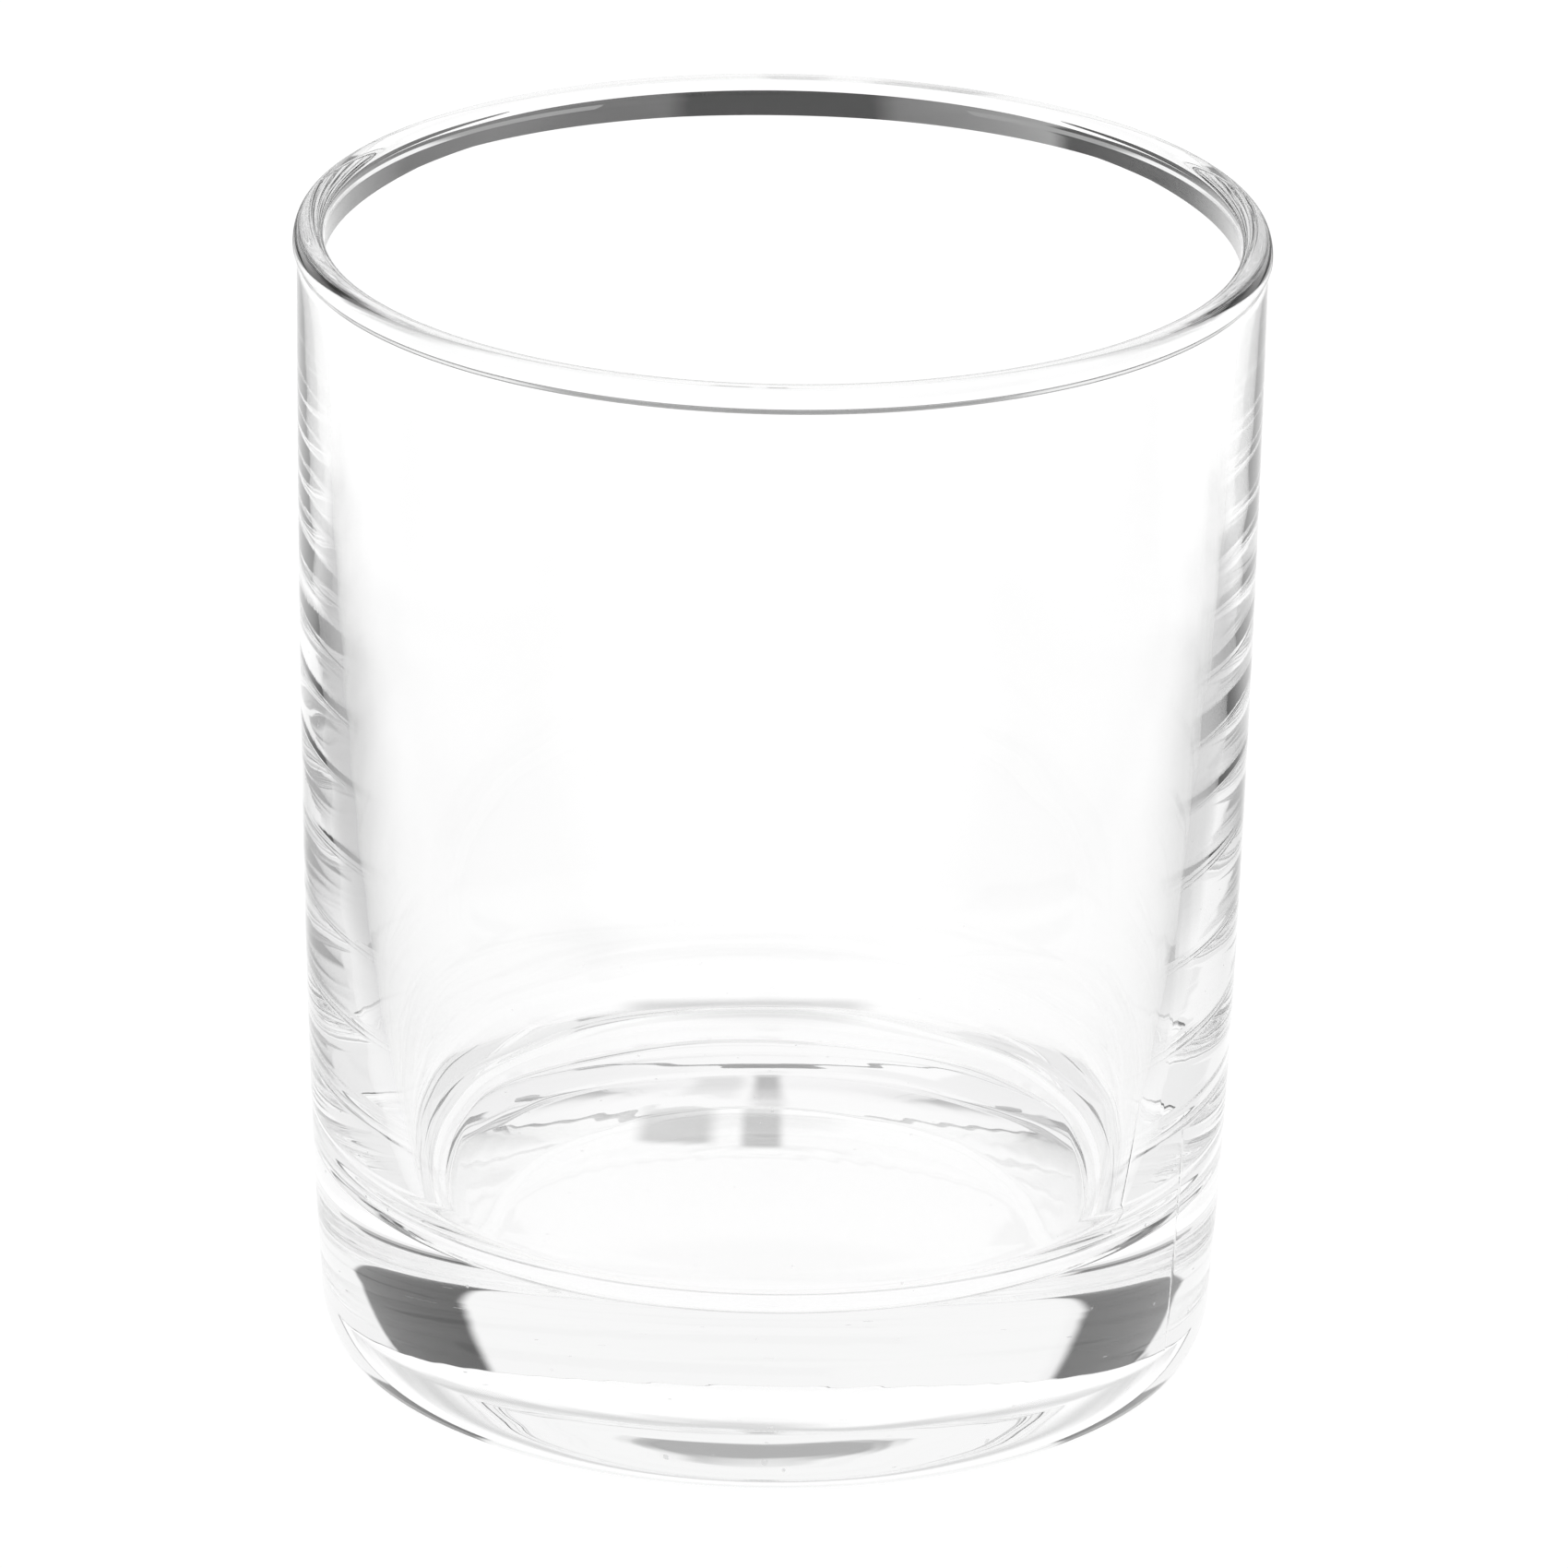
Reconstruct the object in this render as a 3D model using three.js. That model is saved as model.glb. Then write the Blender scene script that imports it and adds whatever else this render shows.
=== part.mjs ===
// A whisky tumbler: one piece of clear glass with a thick base, a gently bowed wall and a beaded rim.
// Millimetres, +Z up. The glass stands on z = 0 and its axis is the Z axis.
import * as THREE from "three";

// Overall size
const rimDiameter = 76;
const height = 92;

// Rim bead: its crown stands inwards of its widest point, and a short slope under it runs into the neck
const beadWidth = 2.36;
const crownInset = 0.74;
const shoulderDrop = 1.55;
const innerDrop = 0.87;
const underRadius = 0.3;
const underTurnDegrees = 37;
const underLength = 0.34;
const neckRadius = 0.25;

// Slight lip inside the mouth, left by the pressing ring
const lipStand = 0.09;
const lipHeight = 2.03;
const lipPullShare = 0.3;

// Outer wall: it rises from the heel to the neck under the bead, bowed outwards most low down
const footDiameter = 70.7;
const outerBow = 1.22;
const outerBowShare = 0.28;

// Heel and underside: a rounded heel, a flat ring to stand on and a shallow hollow inside the ring.
// The hollow's slope is given at shares of its radius, from the axis to the edge.
const heelWidth = 1.95;
const heelHeight = 4.5;
const hollowRadius = 31;
const hollowShares = [0, 0.3, 0.6, 0.8, 1];
const hollowSlopeShares = [0, 0.044, 0.092, 0.147, 0.196];

// Inside: a faintly dished floor, a rounded corner and a wall that thins towards the rim
const baseThickness = 13.27;
const floorDish = 0.25;
const cornerRadius = 4.8;
const wallAboveCorner = 5.8;
const innerBow = 2.5;
const innerBowShare = 0.34;

// How finely curves are cut into straight steps
const turnSteps = 72;
const hollowSteps = 8;
const floorSteps = 3;
const heelSteps = 7;
const wallSteps = 9;
const neckSteps = 2;
const underSteps = 2;
const crownSteps = 6;
const lipSteps = 3;
const cornerSteps = 7;

const quarterTurn = Math.PI / 2;
const half = 1 / 2;
const repeatShare = 1e-6;

// A point of the half section: distance from the axis, height above the table.
function point(radius, z) {
  return new THREE.Vector2(radius, z);
}

// Points of an elliptical arc, angles in radians counted from the outward direction.
function arc(centre, halfWidth, halfHeight, from, to, steps) {
  const points = [];
  for (let step = 0; step <= steps; step += 1) {
    const angle = from + ((to - from) * step) / steps;
    points.push(point(
      centre.x + halfWidth * Math.cos(angle),
      centre.y + halfHeight * Math.sin(angle),
    ));
  }
  return points;
}

// Points of one smooth bend between two points, pulled towards a third.
function bend(start, pull, end, steps) {
  return new THREE.QuadraticBezierCurve(start, pull, end).getPoints(steps);
}

// The pull point of a bowed wall: part of the way up the straight line, then outwards by the bow.
function bowPull(low, high, bow, share) {
  const pull = low.clone().lerp(high, share);
  pull.x += bow;
  return pull;
}

// Radius of a bowed wall at a height, found along its fine points.
function radiusAt(points, z) {
  const above = points.findIndex((p) => p.y >= z);
  const low = points[above - 1];
  const high = points[above];
  return low.x + ((high.x - low.x) * (z - low.y)) / (high.y - low.y);
}

// The bead's widest point, and below it the ends of the slope and the neck
const rimRadius = rimDiameter / 2;
const underTurn = THREE.MathUtils.degToRad(underTurnDegrees);
const shoulder = point(rimRadius, height - shoulderDrop);
const roundedDrop = point(Math.cos(underTurn) - 1, -Math.sin(underTurn));
const slope = point(-Math.sin(underTurn), -Math.cos(underTurn));
const slopeTop = shoulder.clone().addScaledVector(roundedDrop, underRadius);
const slopeFoot = slopeTop.clone().addScaledVector(slope, underLength);
const neck = slopeFoot.clone().addScaledVector(roundedDrop, neckRadius);

// The outer wall, from the top of the heel to the neck.
function outerWall(steps) {
  const low = point(footDiameter / 2, heelHeight);
  return bend(low, bowPull(low, neck, outerBow, outerBowShare), neck, steps);
}

// Slope of the hollow, part of the way from the axis to its edge.
function hollowSlope(share) {
  const above = Math.max(1, hollowShares.findIndex((s) => s >= share));
  const low = hollowShares[above - 1];
  const part = (share - low) / (hollowShares[above] - low);
  return THREE.MathUtils.lerp(hollowSlopeShares[above - 1], hollowSlopeShares[above], part);
}

// The hollow, added up from its edge to the axis and given from the axis outwards.
function hollowCurve() {
  const width = hollowRadius / hollowSteps;
  const points = [point(hollowRadius, 0)];
  for (let step = hollowSteps; step > 0; step -= 1) {
    const middleShare = (step - half) / hollowSteps;
    const rise = hollowSlope(middleShare) * width;
    points.unshift(point((step - 1) * width, points[0].y + rise));
  }
  return points;
}

// The underside and heel, from the axis outwards.
function underside() {
  const hollow = hollowCurve();
  const heelCentre = point(footDiameter / 2 - heelWidth, heelHeight);
  const heel = arc(heelCentre, heelWidth, heelHeight, -quarterTurn, 0, heelSteps);
  return [...hollow, ...heel];
}

// The neck, the bead over its crown and the lip inside it.
function rim() {
  const neckCentre = point(neck.x + neckRadius, neck.y);
  const halfTurn = 2 * quarterTurn;
  const neckBend = arc(neckCentre, neckRadius, neckRadius, halfTurn, halfTurn - underTurn, neckSteps);
  const underCentre = point(shoulder.x - underRadius, shoulder.y);
  const under = arc(underCentre, underRadius, underRadius, -underTurn, 0, underSteps);
  const crownRadius = rimRadius - crownInset;
  const outside = arc(point(crownRadius, shoulder.y), crownInset, shoulderDrop, 0, quarterTurn, crownSteps);
  const innerCentre = point(crownRadius, height - innerDrop);
  const innerWidth = beadWidth - crownInset;
  const inner = arc(innerCentre, innerWidth, innerDrop, quarterTurn, halfTurn, crownSteps);
  const lipTop = point(rimRadius - beadWidth, height - innerDrop);
  const lipPull = point(lipTop.x, lipTop.y - lipHeight * lipPullShare);
  const lip = bend(lipTop, lipPull, point(lipTop.x + lipStand, lipTop.y - lipHeight), lipSteps);
  return [...neckBend, ...under, ...outside, ...inner, ...lip];
}

// The inside, from the foot of the lip down the wall, round the corner and along the floor to the axis.
function inside(high) {
  const cornerTop = baseThickness + cornerRadius;
  const low = point(radiusAt(outerWall(turnSteps), cornerTop) - wallAboveCorner, cornerTop);
  const wall = bend(high, bowPull(low, high, innerBow, innerBowShare), low, wallSteps);
  const cornerCentre = point(low.x - cornerRadius, cornerTop);
  const corner = arc(cornerCentre, cornerRadius, cornerRadius, 0, -quarterTurn, cornerSteps);
  const middle = point(0, baseThickness - floorDish);
  const floorPull = point(cornerCentre.x * half, middle.y);
  const floor = bend(point(cornerCentre.x, baseThickness), floorPull, middle, floorSteps);
  return [...wall, ...corner, ...floor];
}

// Drops a point that repeats the one before it, where two stretches meet.
function withoutRepeats(points) {
  const tolerance = beadWidth * repeatShare;
  return points.filter((p, i) => i === 0 || p.distanceTo(points[i - 1]) > tolerance);
}

function tumbler() {
  const top = rim();
  const below = [...underside(), ...outerWall(wallSteps)];
  const outline = withoutRepeats([...below, ...top, ...inside(top[top.length - 1])]);
  const geometry = new THREE.LatheGeometry(outline, turnSteps);
  geometry.rotateX(quarterTurn);
  const clearGlass = new THREE.MeshStandardMaterial({
    color: 0xf2f6f5,
    roughness: 0.02,
    metalness: 0,
    transparent: true,
    opacity: 0.35,
  });
  const mesh = new THREE.Mesh(geometry, clearGlass);
  mesh.name = "tumbler";
  return mesh;
}

const whiskyGlass = new THREE.Group();
whiskyGlass.add(tumbler());

export default whiskyGlass;
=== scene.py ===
"""Looks for a clear whisky tumbler: one body of glass, turned from a fine section, on a pale studio floor."""

import math

import bmesh
import bpy
from mathutils import Matrix, Vector


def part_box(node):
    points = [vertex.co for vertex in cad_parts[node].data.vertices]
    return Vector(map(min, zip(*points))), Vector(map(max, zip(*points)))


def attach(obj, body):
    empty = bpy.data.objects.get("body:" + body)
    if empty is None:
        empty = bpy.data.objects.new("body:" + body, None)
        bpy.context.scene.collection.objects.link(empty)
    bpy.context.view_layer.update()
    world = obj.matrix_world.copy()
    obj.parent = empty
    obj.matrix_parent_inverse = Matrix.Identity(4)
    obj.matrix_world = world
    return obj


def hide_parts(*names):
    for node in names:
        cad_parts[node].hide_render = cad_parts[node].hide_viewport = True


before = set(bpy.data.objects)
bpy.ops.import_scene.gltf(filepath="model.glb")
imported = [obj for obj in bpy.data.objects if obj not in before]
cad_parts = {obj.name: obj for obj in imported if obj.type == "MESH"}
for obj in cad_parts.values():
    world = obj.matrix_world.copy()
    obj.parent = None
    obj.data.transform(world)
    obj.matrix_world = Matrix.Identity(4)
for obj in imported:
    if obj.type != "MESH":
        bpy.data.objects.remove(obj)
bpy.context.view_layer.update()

MM = 0.001

# The glass, in the sizes of the solid that it stands for
RIM_RADIUS = (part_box("tumbler")[1].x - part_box("tumbler")[0].x) / 2
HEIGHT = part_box("tumbler")[1].z
BEAD_WIDTH = 2.36 * MM
CROWN_INSET = 0.74 * MM
SHOULDER_DROP = 1.55 * MM
INNER_DROP = 0.87 * MM
UNDER_RADIUS = 0.3 * MM
UNDER_TURN = math.radians(37)
UNDER_LENGTH = 0.34 * MM
NECK_BEND = 0.25 * MM
LIP_STAND = 0.09 * MM
LIP_HEIGHT = 2.03 * MM
LIP_PULL_SHARE = 0.3
FOOT_RADIUS = 35.35 * MM
OUTER_BOW = 1.22 * MM
OUTER_BOW_SHARE = 0.28
HEEL_WIDTH = 1.95 * MM
HEEL_HEIGHT = 4.5 * MM
HOLLOW_RADIUS = 31 * MM
# Share of the hollow's radius, and its slope there
HOLLOW_SLOPES = ((0, 0), (0.3, 0.044), (0.6, 0.092), (0.8, 0.147), (1, 0.196))
BASE_THICKNESS = 13.27 * MM
FLOOR_DISH = 0.25 * MM
CORNER_RADIUS = 4.8 * MM
WALL_ABOVE_CORNER = 5.8 * MM
INNER_BOW = 2.5 * MM
INNER_BOW_SHARE = 0.34
GLASS_IOR = 1.52

# Unevenness that pressing leaves: waves down the inside of the wall, ripples and dents in the hollow.
# A dent's turn and its reach around are in degrees.
WAVE_HEIGHT = 0.004 * MM
WAVE_LENGTH = 6.4 * MM
WAVE_SWIRL = 0.35
WAVE_LOBES = 2
WAVE_PHASE = 0.7
WAVE_FADE = 0.4
WAVE_FADE_LOBES = 3
WAVE_LOW = 20 * MM
WAVE_HIGH = 84 * MM
WAVE_EDGE = 8 * MM
RIPPLE_HEIGHT = 0.0007 * MM
RIPPLE_LENGTH = 1.7 * MM
RIPPLE_SWIRL = 0.5
RIPPLE_LOBES = 3
RIPPLE_PHASE = 1
RIPPLE_SWELL = 0.5
RIPPLE_SWELL_LOBES = 4
RIPPLE_REACH = (3 * MM, 8 * MM)
HOLLOW_DENTS = (
    {"radius": 23.0 * MM, "turn": -100, "wide": 2.0 * MM, "around": 12, "rise": 0.025 * MM},
    {"radius": 21.0 * MM, "turn": -74, "wide": 2.6 * MM, "around": 12, "rise": 0.04 * MM},
    {"radius": 24.5 * MM, "turn": -62, "wide": 2.0 * MM, "around": 8, "rise": -0.02 * MM},
)

# Seam of the mould: a faint ridge up the lower part of the wall
SEAM_TURN = math.radians(-26.875)
SEAM_HEIGHT = 0.03 * MM
SEAM_WIDTH = math.radians(0.16)
SEAM_REACH = math.radians(0.36)
SEAM_STEPS = 3
SEAM_LOW = 5 * MM
SEAM_HIGH = 24 * MM
SEAM_EDGE = 3 * MM

# How finely the section and the turn are cut
TURN_STEPS = 288
CURVE_STEPS = 36
HOLLOW_STEPS = 128
INNER_WALL_STEPS = 120
SMALL_CURVE_STEPS = 14

# The camera, fitted to the outline in the photograph, whose frame is 1700 pixels wide
FRAME_PX = 1700
CAMERA_DISTANCE = 1.14
CAMERA_ELEVATION = math.radians(21.11)
CAMERA_ROLL = math.radians(1.01)
PX_PER_RIM_RADIUS = 524.0
MIDDLE_PX = (838.8, 844.8)
SENSOR_WIDTH = 36.0
VIEW_DEPTH = 10 * CAMERA_DISTANCE
LIGHT_BOUNCES = 32

QUARTER_TURN = math.pi / 2
HALF_TURN = 2 * QUARTER_TURN
FULL_TURN = 2 * HALF_TURN
REPEAT_SHARE = 1e-4
WHITE = (1, 1, 1, 1)


# Section of the glass

def arc(centre, half_width, half_height, start, end, steps):
    """Points of an elliptical arc; angles count from the outward direction."""
    points = []
    for step in range(steps + 1):
        angle = start + (end - start) * step / steps
        points.append(Vector((centre.x + half_width * math.cos(angle),
                              centre.y + half_height * math.sin(angle))))
    return points


def bend(start, pull, end, steps):
    """Points of one smooth bend between two points, pulled towards a third."""
    points = []
    for step in range(steps + 1):
        t = step / steps
        points.append(start * (1 - t) ** 2 + pull * 2 * t * (1 - t) + end * t ** 2)
    return points


def bow_pull(low, high, bow, share):
    """The pull point of a bowed wall: part of the way up the straight line, then outwards."""
    return low.lerp(high, share) + Vector((bow, 0))


def radius_at(points, z):
    """Radius of a wall at a height."""
    for low, high in zip(points, points[1:]):
        if low.y <= z <= high.y:
            return low.x + (high.x - low.x) * (z - low.y) / (high.y - low.y)
    raise ValueError("the wall doesn't reach that height")


def slope_at(share):
    """Slope of the hollow, part of the way from the axis to its edge."""
    for (low, gentle), (high, steep) in zip(HOLLOW_SLOPES, HOLLOW_SLOPES[1:]):
        if share <= high:
            return gentle + (steep - gentle) * (share - low) / (high - low)
    return HOLLOW_SLOPES[-1][1]


def underside():
    """The hollow, the flat ring that the glass stands on and the rounded heel."""
    hollow_rim = Vector((HOLLOW_RADIUS, 0))
    hollow = [hollow_rim]
    for step in range(HOLLOW_STEPS, 0, -1):
        middle = HOLLOW_RADIUS * (step - 1 / 2) / HOLLOW_STEPS
        rise = slope_at(middle / HOLLOW_RADIUS) * HOLLOW_RADIUS / HOLLOW_STEPS
        hollow.insert(0, Vector((HOLLOW_RADIUS * (step - 1) / HOLLOW_STEPS, hollow[0].y + rise)))
    heel_centre = Vector((FOOT_RADIUS - HEEL_WIDTH, HEEL_HEIGHT))
    heel = arc(heel_centre, HEEL_WIDTH, HEEL_HEIGHT, -QUARTER_TURN, 0, CURVE_STEPS)
    ring = bend(hollow_rim, hollow_rim.lerp(heel[0], 1 / 2), heel[0], SMALL_CURVE_STEPS)
    return hollow + ring + heel


SHOULDER = Vector((RIM_RADIUS, HEIGHT - SHOULDER_DROP))
SLOPE_TOP = SHOULDER + UNDER_RADIUS * Vector((math.cos(UNDER_TURN) - 1, -math.sin(UNDER_TURN)))
SLOPE_FOOT = SLOPE_TOP + UNDER_LENGTH * Vector((-math.sin(UNDER_TURN), -math.cos(UNDER_TURN)))
NECK = SLOPE_FOOT + NECK_BEND * Vector((math.cos(UNDER_TURN) - 1, -math.sin(UNDER_TURN)))


def outer_wall():
    """The bowed outside of the wall, from the top of the heel to the neck."""
    low = Vector((FOOT_RADIUS, HEEL_HEIGHT))
    return bend(low, bow_pull(low, NECK, OUTER_BOW, OUTER_BOW_SHARE), NECK, CURVE_STEPS)


def rim():
    """The neck, the bead over its crown, and the slight lip inside."""
    neck_centre = NECK + Vector((NECK_BEND, 0))
    neck = arc(neck_centre, NECK_BEND, NECK_BEND, HALF_TURN, HALF_TURN - UNDER_TURN, SMALL_CURVE_STEPS)
    under_centre = SHOULDER - Vector((UNDER_RADIUS, 0))
    under = arc(under_centre, UNDER_RADIUS, UNDER_RADIUS, -UNDER_TURN, 0, SMALL_CURVE_STEPS)
    crown_radius = RIM_RADIUS - CROWN_INSET
    crown_centre = Vector((crown_radius, SHOULDER.y))
    outside = arc(crown_centre, CROWN_INSET, SHOULDER_DROP, 0, QUARTER_TURN, CURVE_STEPS)
    inner_centre = Vector((crown_radius, HEIGHT - INNER_DROP))
    inside = arc(inner_centre, BEAD_WIDTH - CROWN_INSET, INNER_DROP, QUARTER_TURN, HALF_TURN, CURVE_STEPS)
    lip_top = inside[-1]
    lip_foot = Vector((lip_top.x + LIP_STAND, lip_top.y - LIP_HEIGHT))
    lip = bend(lip_top, Vector((lip_top.x, lip_top.y - LIP_HEIGHT * LIP_PULL_SHARE)), lip_foot,
               SMALL_CURVE_STEPS)
    return neck + under + outside + inside + lip


def inside_wall(high):
    """From the foot of the lip down the inside, round the corner and along the floor to the axis."""
    corner_top = BASE_THICKNESS + CORNER_RADIUS
    low = Vector((radius_at(outer_wall(), corner_top) - WALL_ABOVE_CORNER, corner_top))
    wall = bend(high, bow_pull(low, high, INNER_BOW, INNER_BOW_SHARE), low, INNER_WALL_STEPS)
    corner_centre = Vector((low.x - CORNER_RADIUS, corner_top))
    corner = arc(corner_centre, CORNER_RADIUS, CORNER_RADIUS, 0, -QUARTER_TURN, CURVE_STEPS)
    middle = Vector((0, BASE_THICKNESS - FLOOR_DISH))
    floor_pull = Vector((corner[-1].x / 2, middle.y))
    floor = bend(corner[-1], floor_pull, middle, CURVE_STEPS)
    return wall + corner + floor


def outer_section():
    """The half section from the axis underneath, round the outside and over the rim."""
    return without_repeats(underside() + outer_wall() + rim())


def inner_section():
    """The half section from the foot of the lip down the inside to the axis on the floor."""
    return without_repeats(inside_wall(rim()[-1]))[1:]


def without_repeats(points):
    """Drops a point that repeats the one before it, where two stretches meet."""
    kept = [points[0]]
    for p in points[1:]:
        if (p - kept[-1]).length > BEAD_WIDTH * REPEAT_SHARE:
            kept.append(p)
    return kept


def ease(value, start, end):
    """Smooth rise from 0 at the start to 1 at the end."""
    share = min(1, max(0, (value - start) / (end - start)))
    return share * share * (3 - 2 * share)


def turn_angles():
    """Angles round the axis in even steps, with finer ones across the seam."""
    turns = [FULL_TURN * step / TURN_STEPS for step in range(TURN_STEPS)]
    for step in range(-SEAM_STEPS, SEAM_STEPS + 1):
        turn = SEAM_TURN + SEAM_REACH * step / SEAM_STEPS
        turns.append(turn % FULL_TURN)
    return sorted(turns)


def seam_ridge(p, turn):
    """How far the seam of the mould stands out of the wall at a point."""
    reach = ease(p.y, SEAM_LOW, SEAM_LOW + SEAM_EDGE) * (1 - ease(p.y, SEAM_HIGH - SEAM_EDGE, SEAM_HIGH))
    away = math.remainder(turn - SEAM_TURN, FULL_TURN)
    return SEAM_HEIGHT * reach * math.exp(-(away / SEAM_WIDTH) ** 2)


def outer_unevenness(p, turn):
    """How far the outside stands out of true: the seam up the wall, faint ripples and dents in the hollow."""
    if p.x > HOLLOW_RADIUS:
        return Vector((seam_ridge(p, turn), 0))
    wander = RIPPLE_SWIRL * math.sin(RIPPLE_LOBES * turn + RIPPLE_PHASE)
    swell = 1 + RIPPLE_SWELL * math.sin(RIPPLE_SWELL_LOBES * turn + p.x / RIPPLE_LENGTH)
    ripple = swell * math.sin(FULL_TURN * p.x / RIPPLE_LENGTH + wander)
    rise = RIPPLE_HEIGHT * ripple * ease(p.x, *RIPPLE_REACH)
    for dent in HOLLOW_DENTS:
        away = (p.x - dent["radius"]) / dent["wide"]
        round_by = math.remainder(turn - math.radians(dent["turn"]), FULL_TURN)
        around = round_by / math.radians(dent["around"])
        rise += dent["rise"] * math.exp(-away * away - around * around)
    return Vector((0, max(rise, -p.y)))


def inner_unevenness(p, turn):
    """How far the inside of the wall stands out at a point, from the waves that pressing leaves."""
    shift = WAVE_SWIRL * math.sin(WAVE_LOBES * turn + WAVE_PHASE) + p.y / WAVE_LENGTH
    strength = 1 + WAVE_FADE * math.sin(WAVE_FADE_LOBES * turn - shift)
    reach = ease(p.y, WAVE_LOW, WAVE_LOW + WAVE_EDGE) * (1 - ease(p.y, WAVE_HIGH - WAVE_EDGE, WAVE_HIGH))
    return Vector((WAVE_HEIGHT * strength * reach * math.sin(FULL_TURN * shift), 0))


def placed(name, mesh):
    """An object in the scene from a finished mesh."""
    data = bpy.data.meshes.new(name)
    mesh.to_mesh(data)
    mesh.free()
    piece = bpy.data.objects.new(name, data)
    bpy.context.scene.collection.objects.link(piece)
    return piece


def turned(name, stretches, turns):
    """A smooth mesh turned about the Z axis, from stretches of section that start and end on the axis.

    Each stretch comes with the function that gives how far a point of it stands out of true.
    """
    mesh = bmesh.new()
    rings = []
    for section, unevenness in stretches:
        for p in section:
            if p.x < BEAD_WIDTH * REPEAT_SHARE:
                rings.append([mesh.verts.new((0, 0, p.y))])
                continue
            ring = []
            for turn in turns:
                radius, z = p + unevenness(p, turn)
                ring.append(mesh.verts.new((radius * math.cos(turn), radius * math.sin(turn), z)))
            rings.append(ring)
    for low, high in zip(rings, rings[1:]):
        for step in range(len(turns)):
            after = (step + 1) % len(turns)
            if len(low) == 1:
                corners = (low[0], high[after], high[step])
            elif len(high) == 1:
                corners = (low[step], low[after], high[0])
            else:
                corners = (low[step], low[after], high[after], high[step])
            mesh.faces.new(corners).smooth = True
    return placed(name, mesh)


# Materials

def new_tree(owner):
    """The empty node tree of a material or world."""
    owner.use_nodes = True
    owner.node_tree.nodes.clear()
    return owner.node_tree


def coordinates(tree, kind):
    """The X, Y and Z outputs of a texture coordinate."""
    place = tree.nodes.new("ShaderNodeTexCoord")
    split = tree.nodes.new("ShaderNodeSeparateXYZ")
    tree.links.new(place.outputs[kind], split.inputs[0])
    return split.outputs


# Fine detail of the glass: faint drawn marks, a thin haze of wear and small seeds, by size and depth
MARKS_PER_METRE = 260
MARKS_STRETCH = (1, 1, 0.3)
MARKS_DEPTH = 0.0012 * MM
HAZE_PER_METRE = 90
HAZE_ROUGHNESS = 0.005
SEEDS_PER_METRE = 300
SEED_SHARE = 0.045
SEED_ROUGHNESS = 0.35
SEEDS_TO = 20 * MM


def clear_glass():
    """Clear soda-lime glass, fire polished, with faint marks, a thin haze and a few fine seeds low down."""
    material = bpy.data.materials.new("clear_glass")
    tree = new_tree(material)
    shader = tree.nodes.new("ShaderNodeBsdfPrincipled")
    shader.inputs["Base Color"].default_value = WHITE
    shader.inputs["IOR"].default_value = GLASS_IOR
    shader.inputs["Transmission Weight"].default_value = 1.0
    place = tree.nodes.new("ShaderNodeTexCoord")

    stretched = tree.nodes.new("ShaderNodeMapping")
    stretched.inputs["Scale"].default_value = MARKS_STRETCH
    tree.links.new(place.outputs["Object"], stretched.inputs["Vector"])
    marks = tree.nodes.new("ShaderNodeTexNoise")
    marks.inputs["Scale"].default_value = MARKS_PER_METRE
    tree.links.new(stretched.outputs[0], marks.inputs["Vector"])
    relief = tree.nodes.new("ShaderNodeBump")
    relief.inputs["Distance"].default_value = MARKS_DEPTH
    tree.links.new(marks.outputs[0], relief.inputs["Height"])
    tree.links.new(relief.outputs[0], shader.inputs["Normal"])

    haze = tree.nodes.new("ShaderNodeTexNoise")
    haze.inputs["Scale"].default_value = HAZE_PER_METRE
    tree.links.new(place.outputs["Object"], haze.inputs["Vector"])
    wear = math_node(tree, "MULTIPLY", haze.outputs[0], HAZE_ROUGHNESS)
    cells = tree.nodes.new("ShaderNodeTexVoronoi")
    cells.inputs["Scale"].default_value = SEEDS_PER_METRE
    tree.links.new(place.outputs["Object"], cells.inputs["Vector"])
    seed = math_node(tree, "LESS_THAN", cells.outputs["Distance"], SEED_SHARE)
    low_down = math_node(tree, "LESS_THAN", coordinates(tree, "Object")["Z"], SEEDS_TO)
    seed = math_node(tree, "MULTIPLY", seed, low_down)
    rough = math_node(tree, "MULTIPLY_ADD", seed, SEED_ROUGHNESS, wear)
    tree.links.new(rough, shader.inputs["Roughness"])
    output = tree.nodes.new("ShaderNodeOutputMaterial")
    tree.links.new(shader.outputs["BSDF"], output.inputs["Surface"])
    return material


FLOOR_DIFFUSE = 0.12
FLOOR_GLOW = 0.95

# What the glass shows of the floor, in millimetres: nearly white, with painted shade in grey patches that
# nothing in the scene casts. They lie to each side, far behind, twice close behind the glass as painted
# shadows of its foot and rim, and twice right under it.
FLOOR_THROUGH_GLASS = 0.95
FLOOR_PAINTED_SHADE = (
    {"across": (-160, -62), "along": (-120, 120), "edge": 16, "level": 0.45},
    {"across": (62, 160), "along": (-120, 120), "edge": 16, "level": 0.52},
    {"across": (-330, 330), "along": (350, 700), "edge": 12, "level": 0.12},
    {"across": (-12, 8), "along": (35, 39), "edge": 2.0, "level": 0.6},
    {"across": (-22, 13), "along": (60, 68), "edge": 5, "level": 0.88},
    {"across": (-2.3, 1.2), "along": (14.5, 28), "edge": 0.6, "level": 0.34},
    {"across": (-11.5, -5), "along": (15, 29), "edge": 1.0, "level": 0.4},
)


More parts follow.
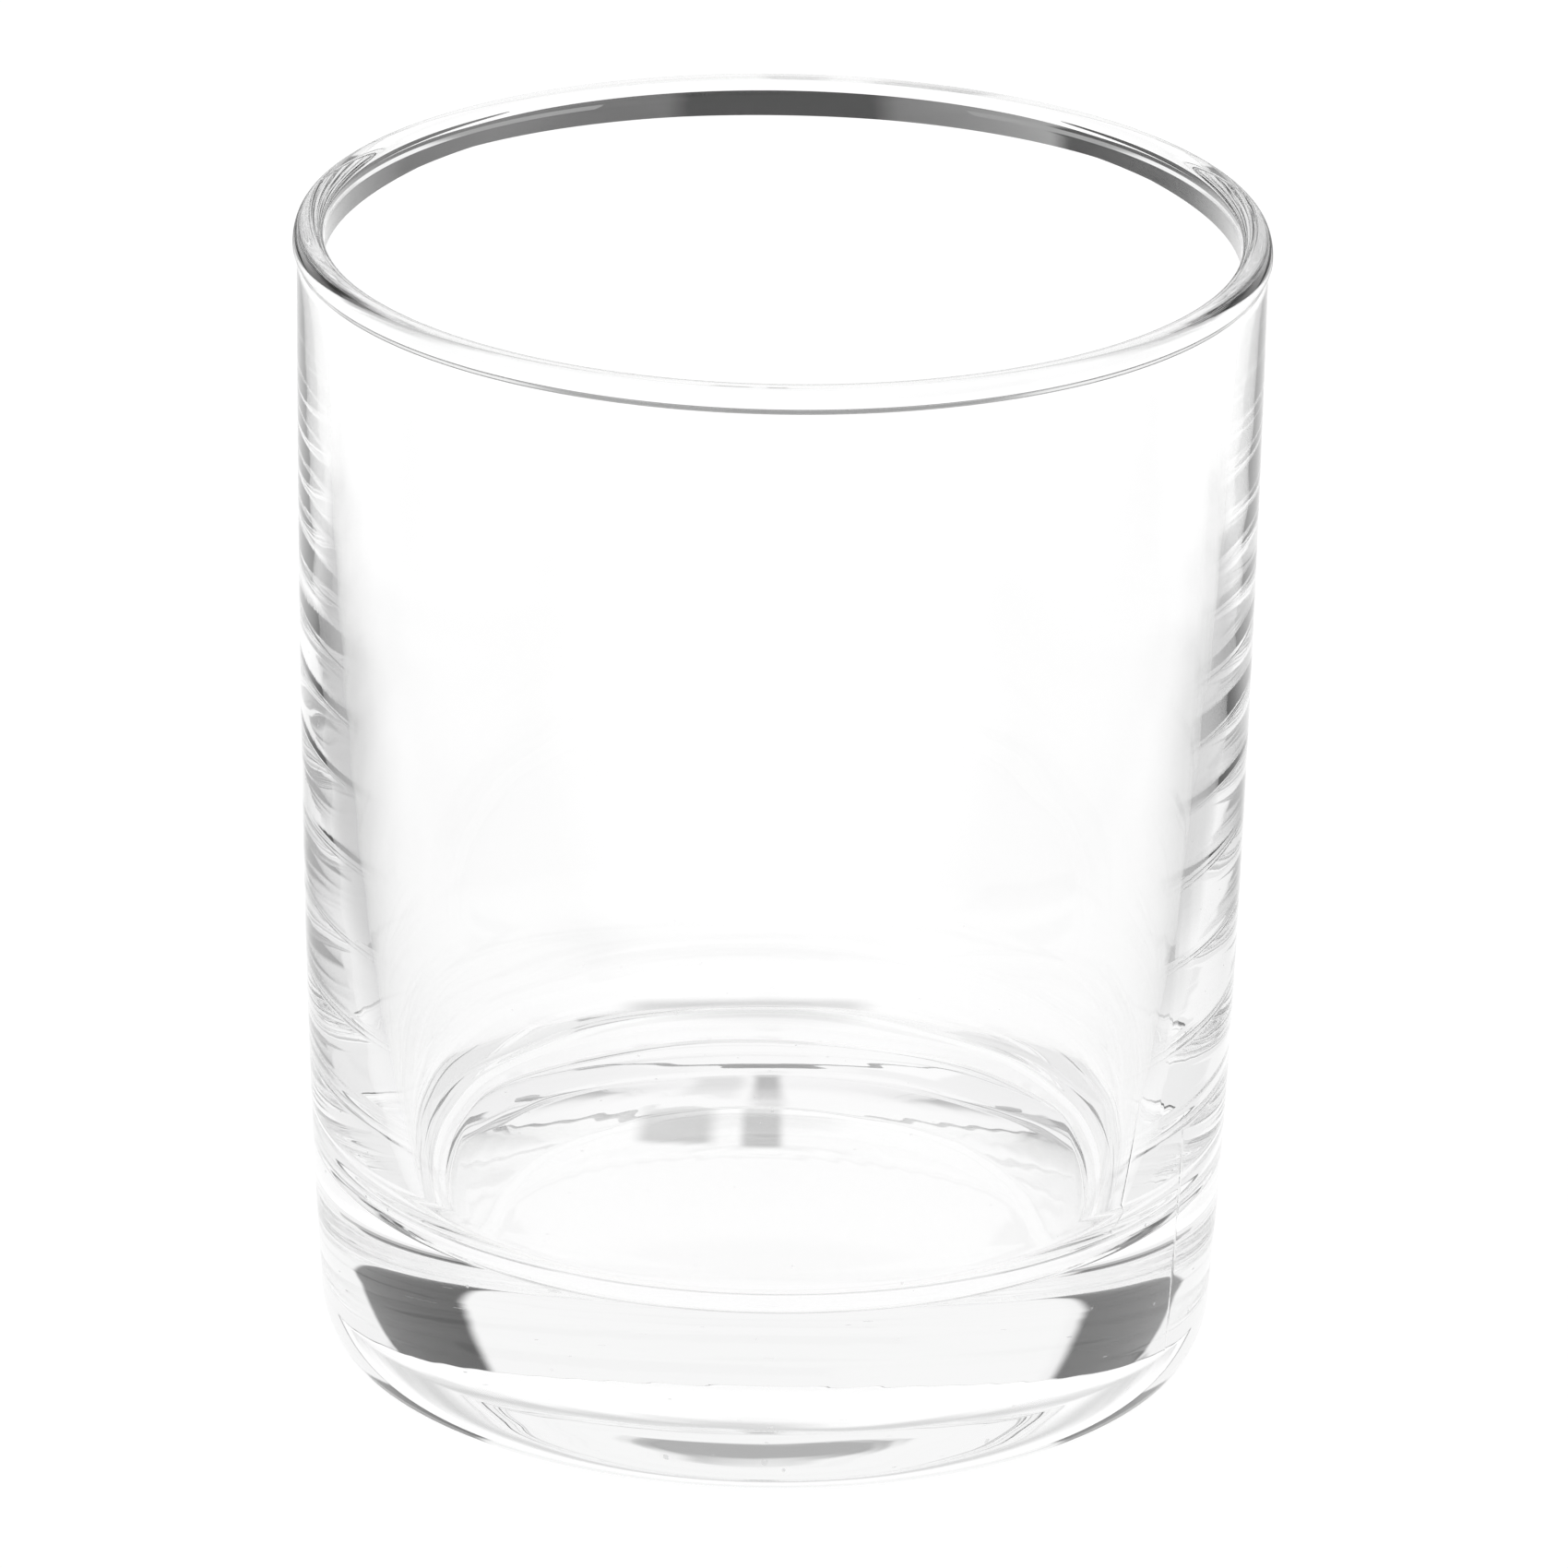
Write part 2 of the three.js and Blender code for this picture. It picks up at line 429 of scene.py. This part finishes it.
def floor_paint():
    """Pale floor: white to the camera, with painted shade in grey patches in the glass, and taking the
    shadow.
    """
    material = bpy.data.materials.new("studio_floor")
    tree = new_tree(material)
    pale = tree.nodes.new("ShaderNodeBsdfDiffuse")
    pale.inputs["Color"].default_value = (FLOOR_DIFFUSE, FLOOR_DIFFUSE, FLOOR_DIFFUSE, 1)
    place = coordinates(tree, "Object")
    across = math_node(tree, "DIVIDE", place["X"], MM)
    along = math_node(tree, "DIVIDE", place["Y"], MM)
    path = tree.nodes.new("ShaderNodeLightPath")
    in_glass = math_node(tree, "MAXIMUM", path.outputs["Is Glossy Ray"], path.outputs["Is Transmission Ray"])
    # Painted shade: grey patches on the level that the glass shows of the floor
    level = patched(tree, across, along, FLOOR_THROUGH_GLASS, FLOOR_PAINTED_SHADE)
    in_glass = math_node(tree, "MULTIPLY", in_glass, level)
    strength = math_node(tree, "MULTIPLY_ADD", path.outputs["Is Camera Ray"], FLOOR_GLOW, in_glass)
    glow = tree.nodes.new("ShaderNodeEmission")
    tree.links.new(strength, glow.inputs["Strength"])
    both = tree.nodes.new("ShaderNodeAddShader")
    tree.links.new(pale.outputs[0], both.inputs[0])
    tree.links.new(glow.outputs[0], both.inputs[1])
    output = tree.nodes.new("ShaderNodeOutputMaterial")
    tree.links.new(both.outputs[0], output.inputs["Surface"])
    return material


# Studio

FLOOR_RADIUS = 3.0
FLOOR_STEPS = 96
# The hair's breadth of air between the glass and the floor
FLOOR_GAP = 0.04 * MM

# What the glass shows of the room: pale all round, with bright panels and dark gaps between them.
# "across" is azimuth, from straight behind the glass towards the right, and "along" is elevation, in degrees.
ROOM_LEVEL = 0.88
ROOM_PATCHES = (
    {"across": (-31, 31), "along": (9.5, 37), "edge": 1.5, "level": 0.93},
    {"across": (-64, 28), "along": (37, 50), "edge": 2.5, "level": 0.4},
    {"across": (-57, -33), "along": (7, 38), "edge": 1.2, "level": 0.1},
    {"across": (30, 54), "along": (3.5, 38), "edge": 1.2, "level": 0.05},
    {"across": (120, 200), "along": (1, 21), "edge": 1.5, "level": 0.36},
    {"across": (-200, -168), "along": (6, 21), "edge": 1.5, "level": 0.36},
    {"across": (-165, -120), "along": (7, 40), "edge": 2.0, "level": 1.0},
    {"across": (-60, 60), "along": (3.5, 8), "edge": 0.8, "level": 0.4},
    {"across": (-12, 12), "along": (3, 8.5), "edge": 1, "level": 0.3},
)

# The ceiling, over the sideways and the away part of a direction: bright, with two dark bars.
# Its elevations run on past straight up, so that only the lower edge shows.
CEILING_ELEVATIONS = (53, 180)
CEILING_EDGE = 3
CEILING_LEVEL = 0.97
CEILING_BARS = (
    {"across": (-0.035, 0.04), "along": (-0.34, 0.12), "edge": 0.02, "level": 0.4},
    {"across": (0.075, 0.21), "along": (-0.3, 0.05), "edge": 0.03, "level": 0.75},
)

# A dark flag held close round the rim, a glowing sheet that only the glass sees: a painted reflection that
# gives the clear edge its dark line. The camera doesn't see it.
FLAG_RADIUS = 60 * MM
FLAG_TOP = 92.1 * MM
FLAG_LOW = 81.6 * MM
FLAG_STEPS = 90
FLAG_REACH = math.radians(52)
FLAG_DROP_FROM = 27 * MM
FLAG_DROP_SLOPE = 0.35
# Tones of its painted reflection, in millimetres across from left to right
FLAG_ACROSS = (-50, 50)
PAINTED_REFLECTION_TONES = (
    (-50, 0.5),
    (-40, 0.2),
    (-33, 0.09),
    (-25, 0.15),
    (-10.2, 0.11),
    (-8.2, 0.01),
    (7.4, 0.01),
    (9.6, 0.14),
    (22.8, 0.3),
    (24.4, 0.01),
    (36, 0.05),
    (43, 0.4),
)


def studio_floor():
    """A wide round floor, a hair's breadth under the glass."""
    mesh = bmesh.new()
    bmesh.ops.create_circle(mesh, cap_ends=True, radius=FLOOR_RADIUS, segments=FLOOR_STEPS)
    floor = placed("studio_floor", mesh)
    floor.data.materials.append(floor_paint())
    floor.data.transform(Matrix.Translation((0, 0, -FLOOR_GAP)))


def painted_reflection_paint():
    """Glowing sheet whose tone changes round the glass, painting the dark reflection in the rim."""
    material = bpy.data.materials.new("painted_reflection_flag")
    tree = new_tree(material)
    share = tree.nodes.new("ShaderNodeMapRange")
    share.inputs["From Min"].default_value = FLAG_ACROSS[0] * MM
    share.inputs["From Max"].default_value = FLAG_ACROSS[1] * MM
    tree.links.new(coordinates(tree, "Object")["X"], share.inputs["Value"])
    ramp = tree.nodes.new("ShaderNodeValToRGB")
    stops = ramp.color_ramp.elements
    stops.remove(stops[1])
    for number, (across, tone) in enumerate(PAINTED_REFLECTION_TONES):
        place_share = (across - FLAG_ACROSS[0]) / (FLAG_ACROSS[1] - FLAG_ACROSS[0])
        stop = stops[0] if number == 0 else stops.new(place_share)
        stop.position = place_share
        stop.color = (tone, tone, tone, 1)
    tree.links.new(share.outputs[0], ramp.inputs["Fac"])
    glow = tree.nodes.new("ShaderNodeEmission")
    tree.links.new(ramp.outputs["Color"], glow.inputs["Color"])
    output = tree.nodes.new("ShaderNodeOutputMaterial")
    tree.links.new(glow.outputs[0], output.inputs["Surface"])
    return material


def rim_flag():
    """The flag as a strip bent round the far side of the rim, its lower edge dropping at both ends."""
    mesh = bmesh.new()
    edges = []
    for step in range(FLAG_STEPS + 1):
        turn = FLAG_REACH * (2 * step / FLAG_STEPS - 1)
        x, y = FLAG_RADIUS * math.sin(turn), FLAG_RADIUS * math.cos(turn)
        low = FLAG_LOW - FLAG_DROP_SLOPE * max(0, abs(x) - FLAG_DROP_FROM)
        edges.append((mesh.verts.new((x, y, low)), mesh.verts.new((x, y, FLAG_TOP))))
    for (low, high), (next_low, next_high) in zip(edges, edges[1:]):
        mesh.faces.new((low, next_low, next_high, high))
    flag = placed("rim_flag", mesh)
    flag.data.materials.append(painted_reflection_paint())
    # Seen only by the glass, where it shows as a painted reflection
    flag.visible_camera = False
    flag.visible_diffuse = False
    flag.visible_shadow = False


def math_node(tree, operation, *values):
    """The result of one sum on numbers and outputs of nodes."""
    node = tree.nodes.new("ShaderNodeMath")
    node.operation = operation
    for socket, given in zip(node.inputs, values):
        if isinstance(given, (int, float)):
            socket.default_value = given
        else:
            tree.links.new(given, socket)
    return node.outputs[0]


def between(tree, value, limits, edge):
    """Smooth window: 1 well inside the limits, 0 well outside."""
    rising = tree.nodes.new("ShaderNodeMapRange")
    falling = tree.nodes.new("ShaderNodeMapRange")
    for node, middle, ends in ((rising, limits[0], (0, 1)), (falling, limits[1], (1, 0))):
        node.interpolation_type = "SMOOTHSTEP"
        node.inputs["From Min"].default_value = middle - edge
        node.inputs["From Max"].default_value = middle + edge
        node.inputs["To Min"].default_value = ends[0]
        node.inputs["To Max"].default_value = ends[1]
        tree.links.new(value, node.inputs["Value"])
    return math_node(tree, "MULTIPLY", rising.outputs[0], falling.outputs[0])


def patched(tree, across, along, level, patches):
    """A level over two measures, with a smooth-edged patch of another level wherever one is listed."""
    for patch in patches:
        wide = between(tree, across, patch["across"], patch["edge"])
        high = between(tree, along, patch["along"], patch["edge"])
        inside = math_node(tree, "MULTIPLY", wide, high)
        step = math_node(tree, "SUBTRACT", patch["level"], level)
        level = math_node(tree, "MULTIPLY_ADD", inside, step, level)
    return level


def studio_world():
    """White all round for the camera; through the glass, bright panels with dark gaps between them."""
    world = bpy.data.worlds.new("studio")
    bpy.context.scene.world = world
    tree = new_tree(world)
    way = coordinates(tree, "Generated")
    turn = math_node(tree, "ARCTAN2", way["X"], way["Y"])
    azimuth = math_node(tree, "MULTIPLY", turn, math.degrees(1))
    rise = math_node(tree, "ARCSINE", way["Z"])
    elevation = math_node(tree, "MULTIPLY", rise, math.degrees(1))
    level = patched(tree, azimuth, elevation, ROOM_LEVEL, ROOM_PATCHES)
    ceiling = patched(tree, way["X"], way["Y"], CEILING_LEVEL, CEILING_BARS)
    overhead = between(tree, elevation, CEILING_ELEVATIONS, CEILING_EDGE)
    more = math_node(tree, "SUBTRACT", ceiling, level)
    level = math_node(tree, "MULTIPLY_ADD", overhead, more, level)
    path = tree.nodes.new("ShaderNodeLightPath")
    lit = math_node(tree, "MAXIMUM", path.outputs["Is Camera Ray"], level)
    background = tree.nodes.new("ShaderNodeBackground")
    background.inputs["Color"].default_value = WHITE
    tree.links.new(lit, background.inputs["Strength"])
    output = tree.nodes.new("ShaderNodeOutputWorld")
    tree.links.new(background.outputs[0], output.inputs["Surface"])


def studio_camera():
    """A long lens a little above the rim, rolled and aimed as the photograph is."""
    middle = Vector((0, 0, HEIGHT / 2))
    forward = Vector((0, math.cos(CAMERA_ELEVATION), -math.sin(CAMERA_ELEVATION)))
    level_right = Vector((1, 0, 0))
    level_up = level_right.cross(forward)
    right = level_right * math.cos(CAMERA_ROLL) + level_up * math.sin(CAMERA_ROLL)
    up = level_up * math.cos(CAMERA_ROLL) - level_right * math.sin(CAMERA_ROLL)
    metres_per_px = RIM_RADIUS / PX_PER_RIM_RADIUS
    across = (FRAME_PX / 2 - MIDDLE_PX[0]) * metres_per_px
    upwards = (MIDDLE_PX[1] - FRAME_PX / 2) * metres_per_px
    eye = middle + right * across + up * upwards - forward * CAMERA_DISTANCE
    lens = bpy.data.cameras.new("camera")
    lens.sensor_width = SENSOR_WIDTH
    lens.lens = SENSOR_WIDTH * (CAMERA_DISTANCE / metres_per_px) / FRAME_PX
    lens.clip_end = VIEW_DEPTH
    camera = bpy.data.objects.new("camera", lens)
    turned_axes = Matrix((right, up, -forward)).transposed().to_4x4()
    camera.matrix_world = Matrix.Translation(eye) @ turned_axes
    bpy.context.scene.collection.objects.link(camera)
    bpy.context.scene.camera = camera


def render_choices():
    """The plain view transform, and enough bounces for thick clear glass."""
    scene = bpy.context.scene
    scene.view_settings.view_transform = "Standard"
    scene.cycles.max_bounces = LIGHT_BOUNCES
    scene.cycles.transmission_bounces = LIGHT_BOUNCES
    scene.cycles.glossy_bounces = LIGHT_BOUNCES


studio_camera()
studio_floor()
rim_flag()
studio_world()
render_choices()

stretches = ((outer_section(), outer_unevenness), (inner_section(), inner_unevenness))
glass = turned("whisky_tumbler", stretches, turn_angles())
glass.data.materials.append(clear_glass())
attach(glass, "root")
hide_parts("tumbler")
